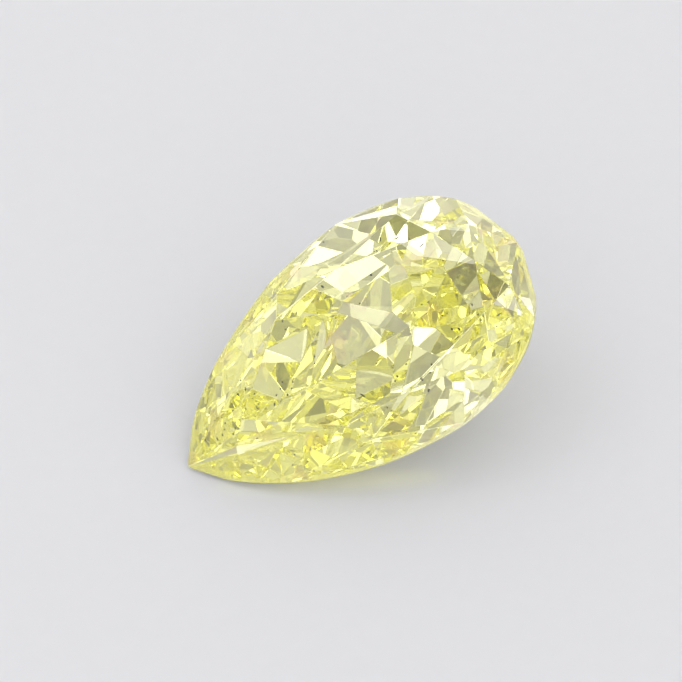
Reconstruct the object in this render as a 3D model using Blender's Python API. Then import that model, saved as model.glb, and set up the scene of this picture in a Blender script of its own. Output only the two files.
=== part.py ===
"""Pear-cut gemstone: one closed faceted solid lying on a pavilion facet, metres, +Z up."""
import math

import bmesh
import bpy
from mathutils import Matrix, Vector

# Overall size, in metres. The stone is laid out with its width as 1 and scaled at the end.
STONE_WIDTH = 0.00553

# Outline seen from above, in stone widths: +u is the round head, -u is the point.
HEAD_LENGTH = 0.610
WING_LENGTH = 1.011
HEAD_ROUNDNESS = 2.10
WING_FULLNESS = 1.85
WING_EASE = 0.76
OUTLINE_SIDES = 112

# Heights, in stone widths.
CROWN_HEIGHT = 0.136
GIRDLE_THICKNESS = 0.030
PAVILION_DEPTH = 0.498
CULET_FORWARD = 0.050

# Table corners, in stone widths: how far along, and how far out to each side.
TABLE_POINT_END = -0.711
TABLE_WING_ALONG = -0.369
TABLE_WING_OUT = 0.269
TABLE_BELLY_ALONG = -0.061
TABLE_BELLY_OUT = 0.298
TABLE_SHOULDER_ALONG = 0.349
TABLE_SHOULDER_OUT = 0.202
TABLE_HEAD_END = 0.431

# Where each main crown facet reaches the girdle, along the stone.
CROWN_WING_FOOT = -0.703
CROWN_BELLY_FOOT = 0.032
CROWN_SHOULDER_FOOT = 0.458

# Height of each star facet's outer tip, as a share of the crown height.
STAR_POINT_LEVEL = 0.737
STAR_WING_LEVEL = 0.709
STAR_BELLY_LEVEL = 0.634
STAR_HEAD_LEVEL = 0.666

# Where neighbouring girdle facets of the crown meet at the girdle, along the stone.
CROWN_POINT_SPLIT = -0.860
CROWN_WING_SPLIT = -0.330
CROWN_BELLY_SPLIT = 0.306
CROWN_HEAD_SPLIT = 0.500

# Pavilion: which way the facets beside the keel face, in degrees out from the point. The stone
# rests on one of the two at the culet.
KEEL_FACET_TURN = 35.0

# The steeper pair that runs to them from the point: how far above the girdle's lower edge it
# starts, which way it faces, and where it ends along the keel.
TIP_FACET_RISE = 0.022
TIP_FACET_TURN = 35.5
TIP_FACET_END = -0.42

# Where each main pavilion facet reaches the girdle, along the stone.
PAVILION_WING_FOOT = -0.620
PAVILION_BELLY_FOOT = 0.020
PAVILION_SHOULDER_FOOT = 0.420
WING_MAIN_REACH = 0.72

# The other mains are in two rows: where the rows meet, as a share of the way to the culet, and
# how far they swell there.
ROW_LEVEL = 0.60
ROW_SWELL = 0.040

# Narrow ribs between the lower mains: how deep they start, and what they take off the culet.
RIB_LEVEL = 0.30
RIB_CUT = 0.012

# How deep the girdle facets of the pavilion reach, as a share of its depth.
LOWER_POINT_REACH = 0.35
LOWER_WING_REACH = 0.42
LOWER_BELLY_REACH = 0.72
LOWER_HEAD_REACH = 0.72

# Where neighbouring girdle facets of the pavilion meet at the girdle, along the stone.
LOWER_POINT_SPLIT = -0.860
LOWER_WING_SPLIT = -0.330
LOWER_BELLY_SPLIT = 0.240
LOWER_HEAD_SPLIT = 0.550

# A place well inside the stone, in stone widths. Every facet faces away from it.
INSIDE = Vector((-0.1, 0.0, -0.05))

# The blank that the facets are cut from reaches below the culet by this share of the depth.
BLANK_SPARE = 0.2

# Steps that the outline is measured in, and distances within which corners count as one.
OUTLINE_STEPS = 2000
CUT_DISTANCE = 2e-6
MERGE_DISTANCE = 1e-5


def half_width(along):
    """Half the stone's width at a distance along it."""
    if along >= 0:
        rest = max(1 - (along / HEAD_LENGTH) ** HEAD_ROUNDNESS, 0)
        return 0.5 * rest ** (1 / HEAD_ROUNDNESS)
    rest = max(1 - (-along / WING_LENGTH) ** WING_FULLNESS, 0)
    return 0.5 * rest ** WING_EASE


def rim_point(along, height):
    """A point of the outline on the +v side."""
    return Vector((along, half_width(along), height))


def rim_direction(along):
    """Direction of the outline at a distance along the stone."""
    if along >= HEAD_LENGTH or along <= -WING_LENGTH:
        return Vector((0, 1, 0))
    step = 1e-4
    rise = half_width(along + step) - half_width(along - step)
    return Vector((1, rise / (2 * step), 0)).normalized()


def plane_along(point, direction, other):
    """Plane through a point, a direction and another point, facing out."""
    normal = direction.cross(other - point).normalized()
    if normal.dot(point - INSIDE) < 0:
        normal.negate()
    return point, normal


def plane_through(a, b, c):
    """Plane through three points, facing out."""
    return plane_along(a, b - a, c)


def meeting_point(first, second, height):
    """Where two planes meet at a height."""
    (p1, n1), (p2, n2) = first, second
    r1 = n1.dot(p1) - n1.z * height
    r2 = n2.dot(p2) - n2.z * height
    det = n1.x * n2.y - n1.y * n2.x
    return Vector(((r1 * n2.y - r2 * n1.y) / det, (n1.x * r2 - n2.x * r1) / det, height))


def both_sides(plane):
    """The plane and its mirror image across the stone."""
    point, normal = plane
    if abs(normal.y) < 1e-9:
        return [plane]
    flip = Vector((1, -1, 1))
    return [plane, (point * flip, normal * flip)]


def girdle_facets(mains, feet, splits, levels, names):
    """The pairs of facets between neighbouring mains, and the points they share."""
    planes = []
    tips = {}
    for (a, b), split, level in zip(zip(names, names[1:]), splits, levels):
        tip = meeting_point(mains[a], mains[b], level)
        tips[a, b] = tip
        planes.append(plane_through(tip, feet[a], split))
        planes.append(plane_through(tip, split, feet[b]))
    return planes, tips


def crown_planes():
    names = ["point", "wing", "belly", "shoulder", "head"]
    corners = {
        "point": Vector((TABLE_POINT_END, 0, CROWN_HEIGHT)),
        "wing": Vector((TABLE_WING_ALONG, TABLE_WING_OUT, CROWN_HEIGHT)),
        "belly": Vector((TABLE_BELLY_ALONG, TABLE_BELLY_OUT, CROWN_HEIGHT)),
        "shoulder": Vector((TABLE_SHOULDER_ALONG, TABLE_SHOULDER_OUT, CROWN_HEIGHT)),
        "head": Vector((TABLE_HEAD_END, 0, CROWN_HEIGHT)),
    }
    along = [-WING_LENGTH, CROWN_WING_FOOT, CROWN_BELLY_FOOT, CROWN_SHOULDER_FOOT, HEAD_LENGTH]
    feet = {name: rim_point(u, 0) for name, u in zip(names, along)}
    mains = {
        name: plane_along(feet[name], rim_direction(u), corners[name])
        for name, u in zip(names, along)
    }
    split_at = [CROWN_POINT_SPLIT, CROWN_WING_SPLIT, CROWN_BELLY_SPLIT, CROWN_HEAD_SPLIT]
    splits = [rim_point(u, 0) for u in split_at]
    share = [STAR_POINT_LEVEL, STAR_WING_LEVEL, STAR_BELLY_LEVEL, STAR_HEAD_LEVEL]
    levels = [CROWN_HEIGHT * s for s in share]
    planes, tips = girdle_facets(mains, feet, splits, levels, names)
    for a, b in zip(names, names[1:]):
        planes.append(plane_through(corners[a], corners[b], tips[a, b]))
    return list(mains.values()) + planes


def pavilion_planes():
    names = ["point", "wing", "belly", "shoulder", "head"]
    rim = -GIRDLE_THICKNESS
    culet = Vector((CULET_FORWARD, 0, rim - PAVILION_DEPTH))
    along = [
        -WING_LENGTH,
        PAVILION_WING_FOOT,
        PAVILION_BELLY_FOOT,
        PAVILION_SHOULDER_FOOT,
        HEAD_LENGTH,
    ]
    feet = {name: rim_point(u, rim) for name, u in zip(names, along)}
    mains = {"point": (feet["point"], facet_normal(keel_fall(), KEEL_FACET_TURN))}
    lower = {"point": mains["point"]}
    for name, u in zip(names[2:], along[2:]):
        across = rim_direction(u)
        _, out = plane_along(feet[name], across, culet)
        middle = feet[name].lerp(culet, ROW_LEVEL) + out * ROW_SWELL
        mains[name] = plane_along(feet[name], across, middle)
        lower[name] = plane_along(culet, across, middle)
    reach = rim - PAVILION_DEPTH * WING_MAIN_REACH
    inner = meeting_point(mains["point"], mains["belly"], reach)
    mains["wing"] = plane_along(feet["wing"], rim_direction(PAVILION_WING_FOOT), inner)
    split_at = [LOWER_POINT_SPLIT, LOWER_WING_SPLIT, LOWER_BELLY_SPLIT, LOWER_HEAD_SPLIT]
    splits = [rim_point(u, rim) for u in split_at]
    share = [LOWER_POINT_REACH, LOWER_WING_REACH, LOWER_BELLY_REACH, LOWER_HEAD_REACH]
    levels = [rim - PAVILION_DEPTH * s for s in share]
    planes, _ = girdle_facets(mains, feet, splits, levels, names)
    rows = list(mains.values()) + list(lower.values())
    return rows + planes + rib_facets(list(lower.values()), culet) + [tip_facet(rim)]


def rib_facets(mains, culet):
    """Narrow facets along the edges between neighbouring lower mains."""
    planes = []
    level = culet.z + PAVILION_DEPTH * (1 - RIB_LEVEL)
    for a, b in zip(mains, mains[1:]):
        start = meeting_point(a, b, level)
        out = (a[1] + b[1]).normalized()
        across = out.cross(culet - start).normalized()
        planes.append(plane_along(start, across, culet - out * RIB_CUT))
    return planes


def tip_facet(rim):
    """The long facet that starts at the point, on the +v side."""
    run = WING_LENGTH + TIP_FACET_END
    start = Vector((-WING_LENGTH, 0, rim + TIP_FACET_RISE))
    return start, facet_normal(keel_fall() + TIP_FACET_RISE / run, TIP_FACET_TURN)


def keel_fall():
    """How much the keel drops from the point to the culet for each unit along it."""
    return PAVILION_DEPTH / (WING_LENGTH + CULET_FORWARD)


def facet_normal(fall, turn):
    """Outward normal, on the +v side, from a facet's fall along the keel and its turn."""
    return Vector((-fall, fall * math.tan(math.radians(turn)), -1)).normalized()


def outline():
    """Evenly spaced points round the stone's outline."""
    steps = OUTLINE_STEPS
    head = [HEAD_LENGTH * math.cos(math.pi / 2 * i / steps) for i in range(steps)]
    wing = [-WING_LENGTH * i / steps for i in range(steps + 1)]
    side = [Vector((u, half_width(u))) for u in head + wing]
    run = [0.0]
    for a, b in zip(side, side[1:]):
        run.append(run[-1] + (b - a).length)
    half = OUTLINE_SIDES // 2
    points = []
    at = 0
    for i in range(half + 1):
        want = run[-1] * i / half
        while at < len(run) - 2 and run[at + 1] < want:
            at += 1
        part = (want - run[at]) / (run[at + 1] - run[at])
        points.append(side[at].lerp(side[at + 1], part))
    lower = [Vector((p.x, -p.y)) for p in reversed(points[1:-1])]
    return points + lower


def cut(bm, point, normal):
    """Cut away what lies outside a plane and close the stone again."""
    geom = bm.verts[:] + bm.edges[:] + bm.faces[:]
    bmesh.ops.bisect_plane(
        bm, geom=geom, dist=CUT_DISTANCE, plane_co=point, plane_no=normal, clear_outer=True
    )
    rim = [edge for edge in bm.edges if edge.is_boundary]
    if rim:
        bmesh.ops.edgeloop_fill(bm, edges=rim)


def make_stone():
    bm = bmesh.new()
    floor = -GIRDLE_THICKNESS - PAVILION_DEPTH * (1 + BLANK_SPARE)
    ring = [bm.verts.new((p.x, p.y, floor)) for p in outline()]
    base = bm.faces.new(ring)
    grown = bmesh.ops.extrude_face_region(bm, geom=[base])["geom"]
    tops = [g for g in grown if isinstance(g, bmesh.types.BMVert)]
    rise = Vector((0, 0, CROWN_HEIGHT - floor))
    bmesh.ops.translate(bm, verts=tops, vec=rise)
    bmesh.ops.recalc_face_normals(bm, faces=bm.faces[:])
    for plane in crown_planes() + pavilion_planes():
        for point, normal in both_sides(plane):
            cut(bm, point, normal)
    bmesh.ops.remove_doubles(bm, verts=bm.verts[:], dist=MERGE_DISTANCE)
    lay_down(bm)
    bmesh.ops.recalc_face_normals(bm, faces=bm.faces[:])
    return bm


def lay_down(bm):
    """Turn the stone so one keel facet is its floor, point towards -X, and scale it to size."""
    foot = facet_normal(keel_fall(), KEEL_FACET_TURN)
    up = Vector((-foot.x, foot.y, -foot.z))
    ahead = Vector((1, 0, 0))
    ahead = (ahead - up * ahead.dot(up)).normalized()
    side = up.cross(ahead)
    turn = Matrix((ahead, side, up))
    bmesh.ops.transform(bm, matrix=turn.to_4x4(), verts=bm.verts[:])
    low = Vector([min(v.co[i] for v in bm.verts) for i in range(3)])
    high = Vector([max(v.co[i] for v in bm.verts) for i in range(3)])
    middle = Vector(((low.x + high.x) / 2, (low.y + high.y) / 2, low.z))
    bmesh.ops.translate(bm, verts=bm.verts[:], vec=-middle)
    bmesh.ops.scale(bm, verts=bm.verts[:], vec=Vector((1, 1, 1)) * STONE_WIDTH)


def gem_material():
    material = bpy.data.materials.new("yellow_gem")
    material.use_nodes = True
    shader = material.node_tree.nodes["Principled BSDF"]
    shader.inputs["Base Color"].default_value = (0.86, 0.80, 0.28, 1)
    shader.inputs["Roughness"].default_value = 0.02
    shader.inputs["Metallic"].default_value = 0.0
    return material


def main():
    for thing in list(bpy.data.objects):
        bpy.data.objects.remove(thing, do_unlink=True)
    mesh = bpy.data.meshes.new("pear_gemstone")
    bm = make_stone()
    bm.to_mesh(mesh)
    bm.free()
    stone = bpy.data.objects.new("pear_gemstone", mesh)
    bpy.context.scene.collection.objects.link(stone)
    mesh.materials.append(gem_material())


main()
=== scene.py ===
import math
import random

import bmesh
import bpy
from mathutils import Matrix, Vector


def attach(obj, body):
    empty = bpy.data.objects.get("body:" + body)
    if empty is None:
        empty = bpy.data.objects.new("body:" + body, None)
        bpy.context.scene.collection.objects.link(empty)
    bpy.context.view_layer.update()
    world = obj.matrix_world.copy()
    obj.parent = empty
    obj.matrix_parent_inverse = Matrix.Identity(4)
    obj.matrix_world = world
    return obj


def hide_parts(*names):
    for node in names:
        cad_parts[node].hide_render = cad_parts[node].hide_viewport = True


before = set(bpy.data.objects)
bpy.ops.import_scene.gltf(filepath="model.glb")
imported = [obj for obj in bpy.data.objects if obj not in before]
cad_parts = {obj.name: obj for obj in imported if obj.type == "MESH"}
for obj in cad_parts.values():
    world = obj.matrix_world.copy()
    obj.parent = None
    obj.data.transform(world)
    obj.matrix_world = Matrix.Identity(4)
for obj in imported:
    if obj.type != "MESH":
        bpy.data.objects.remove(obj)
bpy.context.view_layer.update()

stoneLie = {
    "width": 0.00553,  # metres across the stone, the unit of the next three
    "pointReach": 1.011,  # from the middle of the girdle to the point
    "crownHeight": 0.136,
    "girdleThickness": 0.030,
    "keelFall": 0.4694,  # drop of the keel for each unit along it
    "facetTurn": 35.0,  # degrees the resting facet faces out from the point
}

turnOut = math.tan(math.radians(stoneLie["facetTurn"]))
levelUp = Vector((stoneLie["keelFall"], stoneLie["keelFall"] * turnOut, 1)).normalized()
levelAhead = Vector((1, 0, 0))
levelAhead = (levelAhead - levelUp * levelAhead.dot(levelUp)).normalized()
levelSide = levelUp.cross(levelAhead)
stoneTurn = Matrix((levelAhead, levelSide, levelUp))  # stone's own axes to the level ones
tableUp = stoneTurn @ Vector((0, 0, 1))


def findCentre(lie):
    # the middle of the girdle's upper edge, from the corners of the stone in its own axes
    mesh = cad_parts["pear_gemstone"].data
    corners = [stoneTurn.transposed() @ vert.co for vert in mesh.vertices]
    alongs, outs, heights = zip(*corners)
    along = min(alongs) + lie["pointReach"] * lie["width"]
    height = max(heights) - lie["crownHeight"] * lie["width"]
    return stoneTurn @ Vector((along, (min(outs) + max(outs)) / 2, height))


stoneCentre = findCentre(stoneLie)


def inStone(along, out, height):
    # a place given in stone widths, in metres on the table top
    return stoneCentre + stoneTurn @ Vector((along, out, height)) * stoneLie["width"]


cameraView = {
    "azimuth": -25.4,
    "elevation": 51.4,
    "distance": 0.1067,
    "aim": (-0.000181, 0.000257, 0.002227),
    "lens": 250.8,
    "sensor": 36.0,
    "clip": (0.005, 10.0),
}


def makeCamera(view):
    data = bpy.data.cameras.new("benchCamera")
    data.lens = view["lens"]
    data.sensor_width = view["sensor"]
    data.clip_start, data.clip_end = view["clip"]
    camera = bpy.data.objects.new("benchCamera", data)
    bpy.context.scene.collection.objects.link(camera)
    camera.rotation_euler = (math.radians(90 - view["elevation"]), 0, math.radians(view["azimuth"]))
    back = camera.rotation_euler.to_matrix() @ Vector((0, 0, 1))
    camera.location = Vector(view["aim"]) + back * view["distance"]
    bpy.context.scene.camera = camera


class Wire:
    # an output socket that plain sums can be written on
    def __init__(self, tree, socket=None):
        self.tree = tree
        self.socket = socket

    def feed(self, target, value):
        if isinstance(value, Wire):
            self.tree.links.new(value.socket, target)
        else:
            target.default_value = value

    def make(self, kind, settings=None, values=None, out=0):
        node = self.tree.nodes.new("ShaderNode" + kind)
        for name, value in (settings or {}).items():
            if name == "stops":
                setStops(node.color_ramp, value)
            else:
                setattr(node, name, value)
        for name, value in (values or {}).items():
            self.feed(node.inputs[name], value)
        return Wire(self.tree, node.outputs[out])

    def sum(self, operation, first, second):
        return self.make("Math", {"operation": operation}, {0: first, 1: second})

    def __add__(self, other):
        return self.sum("ADD", self, other)

    def __radd__(self, other):
        return self.sum("ADD", other, self)

    def __sub__(self, other):
        return self.sum("SUBTRACT", self, other)

    def __rsub__(self, other):
        return self.sum("SUBTRACT", other, self)

    def __mul__(self, other):
        return self.sum("MULTIPLY", self, other)

    def __rmul__(self, other):
        return self.sum("MULTIPLY", other, self)

    def __truediv__(self, other):
        return self.sum("DIVIDE", self, other)

    def __rtruediv__(self, other):
        return self.sum("DIVIDE", other, self)

    def __gt__(self, other):
        return self.sum("GREATER_THAN", self, other)

    def __lt__(self, other):
        return self.sum("LESS_THAN", self, other)

    def blend(self, share, first, second):
        return self.make("Mix", {"data_type": "RGBA"}, {0: share, 6: first, 7: second}, out=2)


def setStops(ramp, stops):
    ramp.interpolation = stops[0]
    while len(ramp.elements) > 1:
        ramp.elements.remove(ramp.elements[-1])
    for index, (place, tone) in enumerate(stops[1:]):
        stop = ramp.elements[0] if index == 0 else ramp.elements.new(place)
        stop.position = place
        stop.color = (tone, tone, tone, 1)


def finishPiece(name, bm, material):
    mesh = bpy.data.meshes.new(name)
    bm.to_mesh(mesh)
    bm.free()
    mesh.materials.append(material)
    piece = bpy.data.objects.new(name, mesh)
    bpy.context.scene.collection.objects.link(piece)
    return piece


def newMaterial(name):
    material = bpy.data.materials.new(name)
    material.use_nodes = True
    wire = Wire(material.node_tree)
    return material, wire, material.node_tree.nodes["Principled BSDF"]


gemLook = {
    "bend": 2.417,
    "body": (1.0, 0.99, 0.12, 1),  # lemon yellow held by the crystal itself
    "bodyDensity": 62.0,
    "skin": (1.0, 0.995, 0.80, 1),  # the part of the colour that a ray gets however short its way
    "edgeWidth": 0.000014,  # metres across the line along each facet edge
    "sharpAngle": 6.0,  # degrees between two facets, and less than this stays unshaved
    "flatAngle": 0.2,  # degrees within which triangles are one facet
    "mergeDistance": 1e-7,
    "cutDistance": 1e-9,
    "girdleRoughness": 0.22,
    "girdleInset": 0.02,  # share of the girdle that stays polished at each edge
    "groundTone": (1.0, 0.99, 0.85, 1),
    "groundShare": 0.5,
    "paintedFireCell": 0.00040,  # metres across one patch of painted fire, dispersed light painted as colour into the surface
    "paintedFireShare": 0.80,  # patches above this number carry the painted fire
    "paintedFireStrength": 0.22,
}


def gemGlass(look):
    material, wire, shader = newMaterial("yellowDiamond")
    place = wire.make("TexCoord", out=3)
    width = stoneLie["width"]
    height = wire.make("VectorMath", {"operation": "DOT_PRODUCT"}, {0: place, 1: tableUp}, out=1)
    above = (height - stoneCentre.dot(tableUp)) / width  # height over the girdle, in widths
    band = stoneLie["girdleThickness"]
    inset = look["girdleInset"]
    girdle = (above < -inset * band) * (above > (inset - 1) * band)
    # painted fire: random patches of spectral colour in the base colour stand in for the coloured
    # flashes that dispersed light makes in a cut stone
    paintedFireColour = wire.make("TexVoronoi", None, {"Vector": place, "Scale": 1 / look["paintedFireCell"]}, out=1)
    number = wire.make("SeparateColor", None, {0: paintedFireColour})
    paintedFire = (number > look["paintedFireShare"]) * look["paintedFireStrength"]
    skinAndPaintedFire = wire.blend(paintedFire, look["skin"], paintedFireColour)
    ground = girdle * look["groundShare"]
    wire.feed(shader.inputs["Base Color"], wire.blend(ground, skinAndPaintedFire, look["groundTone"]))
    wire.feed(shader.inputs["Roughness"], girdle * look["girdleRoughness"])
    shader.inputs["IOR"].default_value = look["bend"]
    shader.inputs["Transmission Weight"].default_value = 1.0
    values = {"Color": look["body"], "Density": look["bodyDensity"]}
    body = wire.make("VolumeAbsorption", None, values)
    wire.feed(material.node_tree.nodes["Material Output"].inputs["Volume"], body)
    return material


def polishedEdges(bm, look):
    # shave every sharp edge by a hair, so that it catches a thin line of light
    shaves = []
    for edge in bm.edges:
        first, second = (face.normal for face in edge.link_faces)
        bend = first.angle(second, 0)
        if bend > math.radians(look["sharpAngle"]):
            out = (first + second).normalized()
            depth = look["edgeWidth"] / 2 * math.tan(bend / 2)
            shaves.append(((edge.verts[0].co + edge.verts[1].co) / 2 - out * depth, out))
    for point, out in shaves:
        whole = bm.verts[:] + bm.edges[:] + bm.faces[:]
        bmesh.ops.bisect_plane(
            bm,
            geom=whole,
            dist=look["cutDistance"],
            plane_co=point,
            plane_no=out,
            clear_outer=True,
        )
        rim = [edge for edge in bm.edges if edge.is_boundary]
        if rim:
            bmesh.ops.edgeloop_fill(bm, edges=rim)


def makeStone(look):
    bm = bmesh.new()
    bm.from_mesh(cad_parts["pear_gemstone"].data)
    bmesh.ops.remove_doubles(bm, verts=bm.verts[:], dist=look["mergeDistance"])
    flat = math.radians(look["flatAngle"])
    bmesh.ops.dissolve_limit(bm, angle_limit=flat, verts=bm.verts[:], edges=bm.edges[:])
    bm.normal_update()
    polishedEdges(bm, look)
    bmesh.ops.recalc_face_normals(bm, faces=bm.faces[:])
    stone = finishPiece("cut_stone", bm, gemGlass(look))
    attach(stone, "root")
    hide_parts("pear_gemstone")
    print("cut stone faces", len(stone.data.polygons))


grainLook = {
    # along, out and height in stone widths, then length and thickness in millimetres
    "grains": [
        (-0.010, -0.280, 0.108, 0.081, 0.054),
        (-0.013, -0.322, 0.088, 0.101, 0.061),
        (0.056, -0.255, 0.110, 0.068, 0.049),
        (0.032, -0.274, 0.108, 0.054, 0.046),
        (-0.355, 0.246, 0.112, 0.068, 0.041),
        (-0.362, 0.211, 0.110, 0.061, 0.041),
        (-0.323, 0.048, 0.108, 0.068, 0.043),
        (-0.338, 0.023, 0.112, 0.049, 0.041),
        (-0.580, -0.270, 0.028, 0.068, 0.046),
        (-0.582, -0.306, 0.000, 0.062, 0.043),
        (-0.699, -0.092, 0.090, 0.057, 0.043),
        (-0.053, 0.126, 0.110, 0.054, 0.038),
        (-0.640, -0.244, 0.022, 0.054, 0.041),
        (-0.245, -0.200, 0.106, 0.176, 0.035),
    ],
    "flatness": 0.8,  # height of a grain as a share of its thickness
    "lumps": (0.8, 1.15),
    "tip": 0.5,  # radians a grain may lean
    "seed": 7,
    "cloudScale": 60000.0,
    "cloudTones": ((0.012, 0.011, 0.006, 1), (0.10, 0.085, 0.035, 1)),
    "roughness": 0.35,
    "roughnessSpread": 0.3,
}


def makeGrains(look):
    rng = random.Random(look["seed"])
    bm = bmesh.new()
    for along, out, height, long, thick in look["grains"]:
        made = bmesh.ops.create_icosphere(bm, subdivisions=1, radius=0.5)["verts"]
        sizes = Vector((long, thick, thick * look["flatness"])) / 1000
        bmesh.ops.scale(bm, verts=made, vec=sizes)
        for vert in made:
            vert.co *= rng.uniform(*look["lumps"])
        spin = Matrix.Rotation(rng.uniform(0, math.pi), 3, "Z")
        tip = Matrix.Rotation(rng.uniform(-look["tip"], look["tip"]), 3, "X")
        bmesh.ops.rotate(bm, verts=made, matrix=stoneTurn @ spin @ tip)
        bmesh.ops.translate(bm, verts=made, vec=inStone(along, out, height))
    grains = finishPiece("dark_grains", bm, darkGrain(look))
    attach(grains, "root")
    print("grains placed", len(look["grains"]))


def darkGrain(look):
    material, wire, shader = newMaterial("darkGrain")
    place = wire.make("TexCoord", out=3)
    values = {"Vector": place, "Scale": look["cloudScale"], "Detail": 2.0}
    cloud = wire.make("TexNoise", None, values)
    wire.feed(shader.inputs["Base Color"], wire.blend(cloud, *look["cloudTones"]))
    wire.feed(shader.inputs["Roughness"], look["roughness"] + cloud * look["roughnessSpread"])
    return material


bench = {
    "half": 1.5,
    "gap": 0.000004,
    "paleTone": (0.755, 0.755, 0.779, 1),
    "fibreTone": (0.736, 0.736, 0.7595, 1),
    "fibreScale": 2500.0,
    "roughness": 0.8,
    "roughnessSpread": 0.15,
    "shine": 0.15,
}


def makeBench(look):
    bm = bmesh.new()
    bmesh.ops.create_grid(bm, x_segments=1, y_segments=1, size=look["half"])
    bmesh.ops.translate(bm, verts=bm.verts[:], vec=(0, 0, -look["gap"]))
    finishPiece("table_top", bm, matteCard(look))


def matteCard(look):
    material, wire, shader = newMaterial("matteCard")
    place = wire.make("TexCoord", out=3)
    values = {"Vector": place, "Scale": look["fibreScale"], "Detail": 3.0}
    fibre = wire.make("TexNoise", None, values)
    tone = wire.blend(fibre, look["fibreTone"], look["paleTone"])
    wire.feed(shader.inputs["Base Color"], tone)
    wire.feed(shader.inputs["Roughness"], look["roughness"] + fibre * look["roughnessSpread"])
    shader.inputs["Specular IOR Level"].default_value = look["shine"]
    return material


tent = {
    "panelScale": 24.0,
    "panelShift": (0.3, 0.0, 0.0),
    "panels": ["CONSTANT", (0.0, 0.12), (0.30, 0.19), (0.60, 0.27), (0.84, 0.56)],
    "panelPower": 3.5,
    "horizonLift": 0.9,  # how much brighter the tent is low down
    "backdrop": (0.80, 0.80, 0.81, 1),
}


def makeTent(look):
    world = bpy.data.worlds.new("lightTent")
    world.use_nodes = True
    bpy.context.scene.world = world
    wire = Wire(world.node_tree)
    way = wire.make("TexCoord")
    rise = wire.make("SeparateXYZ", None, {0: way}, out=2)
    low = wire.make("Clamp", None, {0: 1 - rise})
    power = (low * low * look["horizonLift"] + 1) * look["panelPower"]
    way = wire.make("VectorMath", {"operation": "ADD"}, {0: way, 1: look["panelShift"]})
    panel = wire.make("TexVoronoi", None, {"Vector": way, "Scale": look["panelScale"]}, out=1)
    number = wire.make("SeparateColor", None, {0: panel})
    glow = wire.make("ValToRGB", {"stops": look["panels"]}, {0: number})
    glow = wire.make("VectorMath", {"operation": "SCALE"}, {0: glow, "Scale": power})
    seen = wire.make("LightPath")  # the panels light the stone, the view behind stays plain
    sky = world.node_tree.nodes["Background"]
    wire.feed(sky.inputs["Color"], wire.blend(seen, glow, look["backdrop"]))


keyLight = {
    "place": (-0.18, 0.18, 0.42),
    "size": 0.24,
    "power": 0.125,
}


def areaLight(name, shape, look):
    data = bpy.data.lights.new(name, "AREA")
    data.shape = shape
    data.energy = look["power"]
    light = bpy.data.objects.new(name, data)
    bpy.context.scene.collection.objects.link(light)
    light.location = look["place"]
    return light


def makeKey(look):
    key = areaLight("softKey", "DISK", look)
    key.data.size = look["size"]
    key.rotation_euler = Vector(look["place"]).to_track_quat("Z", "Y").to_euler()


# the yellow light that the stone throws on the table under its lower edge
yellowThrow = {
    "place": (-0.0014, -0.0017, 0.00018),
    "size": (0.0052, 0.0005),
    "turn": -22.0,
    "tone": (1.0, 1.0, 0.02),
    "power": 1.1e-6,
}


def makeThrow(look):
    throw = areaLight("yellowThrow", "ELLIPSE", look)
    throw.data.size, throw.data.size_y = look["size"]
    throw.data.color = look["tone"]
    throw.rotation_euler = (0, 0, math.radians(look["turn"]))
    throw.visible_camera = False
    throw.visible_glossy = False
    throw.visible_transmission = False


rays = {
    "bounces": 64,  # light turns many times inside a cut stone
    "clearBounces": 16,
}


def setRays(look):
    scene = bpy.context.scene
    scene.view_settings.view_transform = "Standard"
    scene.cycles.max_bounces = look["bounces"]
    scene.cycles.transmission_bounces = look["bounces"]
    scene.cycles.glossy_bounces = look["bounces"]
    scene.cycles.transparent_max_bounces = look["clearBounces"]


makeCamera(cameraView)
print("camera placed")
makeStone(gemLook)
makeGrains(grainLook)
makeBench(bench)
print("table top laid")
makeTent(tent)
makeKey(keyLight)
makeThrow(yellowThrow)
setRays(rays)
print("light ready")
